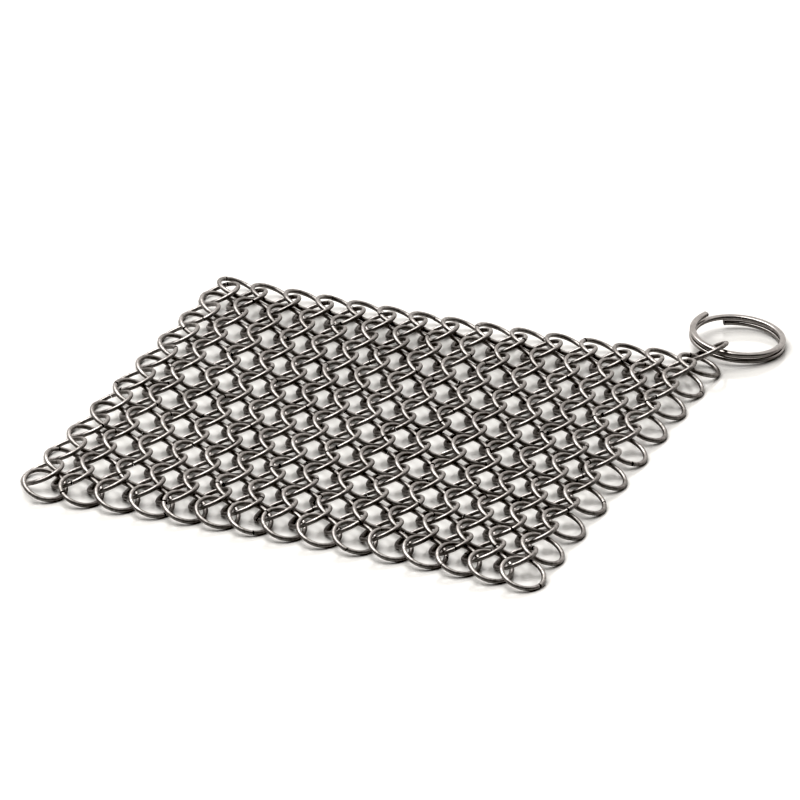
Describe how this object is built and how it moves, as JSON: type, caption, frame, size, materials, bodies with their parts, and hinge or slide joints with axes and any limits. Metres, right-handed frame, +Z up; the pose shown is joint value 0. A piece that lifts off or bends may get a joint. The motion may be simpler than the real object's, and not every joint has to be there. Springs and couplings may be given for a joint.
{
  "type": "pot scrubber",
  "caption": "Square chainmail pot scrubber: a flexible mat of linked steel wire rings, with a split ring at one corner for hanging it up.",
  "frame": {"origin": "under the middle of the whole object, on the surface that it lies on", "axes": "+X along the front edge towards the ring's side, +Y along the rows towards the back, +Z up"},
  "size_m": [0.1836, 0.2018, 0.008],
  "materials": {
    "link_steel": "stainless steel wire, drawn and tumbled to a satin shine",
    "ring_steel": "flattened stainless steel wire, satin"
  },
  "bodies": {
    "row_01": {"row_01": "link_steel"},
    "row_02": {"row_02": "link_steel"},
    "row_03": {"row_03": "link_steel"},
    "row_04": {"row_04": "link_steel"},
    "row_05": {"row_05": "link_steel"},
    "row_06": {"row_06": "link_steel"},
    "row_07": {"row_07": "link_steel"},
    "row_08": {"row_08": "link_steel"},
    "row_09": {"row_09": "link_steel"},
    "row_10": {"row_10": "link_steel"},
    "row_11": {"row_11": "link_steel"},
    "row_12": {"row_12": "link_steel"},
    "row_13": {"row_13": "link_steel"},
    "row_14": {"row_14": "link_steel"},
    "row_15": {"row_15": "link_steel"},
    "row_16": {"row_16": "link_steel"},
    "row_17": {"row_17": "link_steel"},
    "row_18": {"row_18": "link_steel"},
    "row_19": {"row_19": "link_steel"},
    "row_20": {"row_20": "link_steel"},
    "row_21": {"row_21": "link_steel"},
    "row_22": {"row_22": "link_steel"},
    "row_23": {"row_23": "link_steel"},
    "row_24": {"row_24": "link_steel"},
    "row_25": {"row_25": "link_steel"},
    "row_26": {"row_26": "link_steel"},
    "row_27": {"row_27": "link_steel"},
    "row_28": {"row_28": "link_steel"},
    "row_29": {"row_29": "link_steel"},
    "row_30": {"row_30": "link_steel"},
    "connecting_link": {"connecting_link": "link_steel"},
    "split_ring": {"split_ring": "ring_steel"}
  },
  "joints": [
    {"name": "connecting_link_swing", "type": "hinge", "parent": "row_01", "child": "connecting_link", "pos_m": [0.06971, 0.06833, 0.00289], "axis": [0.856, 0.3613, -0.3699], "range_deg": [0, 45]},
    {"name": "hanging_ring_swing", "type": "hinge", "parent": "connecting_link", "child": "split_ring", "pos_m": [0.07225, 0.07268, 0.00384], "axis": [0.9421, -0.3168, -0.1103], "range_deg": [0, 90]},
    {"name": "row_fold_01", "type": "hinge", "parent": "row_02", "child": "row_01", "pos_m": [0.06961, 0, 0.00457], "axis": [0, 1, 0], "range_deg": [0, 36]},
    {"name": "row_fold_02", "type": "hinge", "parent": "row_03", "child": "row_02", "pos_m": [0.06441, 0, 0.00219], "axis": [0, -1, 0], "range_deg": [0, 36]},
    {"name": "row_fold_03", "type": "hinge", "parent": "row_04", "child": "row_03", "pos_m": [0.05921, 0, 0.00456], "axis": [0, 1, 0], "range_deg": [0, 36]},
    {"name": "row_fold_04", "type": "hinge", "parent": "row_05", "child": "row_04", "pos_m": [0.05398, 0, 0.00217], "axis": [0, -1, 0], "range_deg": [0, 36]},
    {"name": "row_fold_05", "type": "hinge", "parent": "row_06", "child": "row_05", "pos_m": [0.04869, 0, 0.0046], "axis": [0, 1, 0], "range_deg": [0, 36]},
    {"name": "row_fold_06", "type": "hinge", "parent": "row_07", "child": "row_06", "pos_m": [0.0433, 0, 0.00213], "axis": [0, -1, 0], "range_deg": [0, 36]},
    {"name": "row_fold_07", "type": "hinge", "parent": "row_08", "child": "row_07", "pos_m": [0.03781, 0, 0.00464], "axis": [0, 1, 0], "range_deg": [0, 36]},
    {"name": "row_fold_08", "type": "hinge", "parent": "row_09", "child": "row_08", "pos_m": [0.03222, 0, 0.00208], "axis": [0, -1, 0], "range_deg": [0, 36]},
    {"name": "row_fold_09", "type": "hinge", "parent": "row_10", "child": "row_09", "pos_m": [0.02653, 0, 0.00468], "axis": [0, 1, 0], "range_deg": [0, 36]},
    {"name": "row_fold_10", "type": "hinge", "parent": "row_11", "child": "row_10", "pos_m": [0.02079, 0, 0.00205], "axis": [0, -1, 0], "range_deg": [0, 36]},
    {"name": "row_fold_11", "type": "hinge", "parent": "row_12", "child": "row_11", "pos_m": [0.01502, 0, 0.0047], "axis": [0, 1, 0], "range_deg": [0, 36]},
    {"name": "row_fold_12", "type": "hinge", "parent": "row_13", "child": "row_12", "pos_m": [0.00925, 0, 0.00206], "axis": [0, -1, 0], "range_deg": [0, 36]},
    {"name": "row_fold_13", "type": "hinge", "parent": "row_14", "child": "row_13", "pos_m": [0.00354, 0, 0.00467], "axis": [0, 1, 0], "range_deg": [0, 36]},
    {"name": "row_fold_14", "type": "hinge", "parent": "row_15", "child": "row_14", "pos_m": [-0.00209, 0, 0.0021], "axis": [0, -1, 0], "range_deg": [0, 36]},
    {"name": "row_fold_15", "type": "hinge", "parent": "row_16", "child": "row_15", "pos_m": [-0.00762, 0, 0.00463], "axis": [0, 1, 0], "range_deg": [0, 36]},
    {"name": "row_fold_16", "type": "hinge", "parent": "row_17", "child": "row_16", "pos_m": [-0.01305, 0, 0.00214], "axis": [0, -1, 0], "range_deg": [0, 36]},
    {"name": "row_fold_17", "type": "hinge", "parent": "row_18", "child": "row_17", "pos_m": [-0.01838, 0, 0.00458], "axis": [0, 1, 0], "range_deg": [0, 36]},
    {"name": "row_fold_18", "type": "hinge", "parent": "row_19", "child": "row_18", "pos_m": [-0.02363, 0, 0.00218], "axis": [0, -1, 0], "range_deg": [0, 36]},
    {"name": "row_fold_19", "type": "hinge", "parent": "row_20", "child": "row_19", "pos_m": [-0.02883, 0, 0.00456], "axis": [0, 1, 0], "range_deg": [0, 36]},
    {"name": "row_fold_20", "type": "hinge", "parent": "row_21", "child": "row_20", "pos_m": [-0.03403, 0, 0.00218], "axis": [0, -1, 0], "range_deg": [0, 36]},
    {"name": "row_fold_21", "type": "hinge", "parent": "row_22", "child": "row_21", "pos_m": [-0.03926, 0, 0.00458], "axis": [0, 1, 0], "range_deg": [0, 36]},
    {"name": "row_fold_22", "type": "hinge", "parent": "row_23", "child": "row_22", "pos_m": [-0.04455, 0, 0.00215], "axis": [0, -1, 0], "range_deg": [0, 36]},
    {"name": "row_fold_23", "type": "hinge", "parent": "row_24", "child": "row_23", "pos_m": [-0.04994, 0, 0.00462], "axis": [0, 1, 0], "range_deg": [0, 36]},
    {"name": "row_fold_24", "type": "hinge", "parent": "row_25", "child": "row_24", "pos_m": [-0.05543, 0, 0.00211], "axis": [0, -1, 0], "range_deg": [0, 36]},
    {"name": "row_fold_25", "type": "hinge", "parent": "row_26", "child": "row_25", "pos_m": [-0.06102, 0, 0.00467], "axis": [0, 1, 0], "range_deg": [0, 36]},
    {"name": "row_fold_26", "type": "hinge", "parent": "row_27", "child": "row_26", "pos_m": [-0.06671, 0, 0.00206], "axis": [0, -1, 0], "range_deg": [0, 36]},
    {"name": "row_fold_27", "type": "hinge", "parent": "row_28", "child": "row_27", "pos_m": [-0.07245, 0, 0.0047], "axis": [0, 1, 0], "range_deg": [0, 36]},
    {"name": "row_fold_28", "type": "hinge", "parent": "row_29", "child": "row_28", "pos_m": [-0.07823, 0, 0.00205], "axis": [0, -1, 0], "range_deg": [0, 36]},
    {"name": "row_fold_29", "type": "hinge", "parent": "row_29", "child": "row_30", "pos_m": [-0.08277, 0, 0.00413], "axis": [0, -1, 0], "range_deg": [0, 36]}
  ]
}
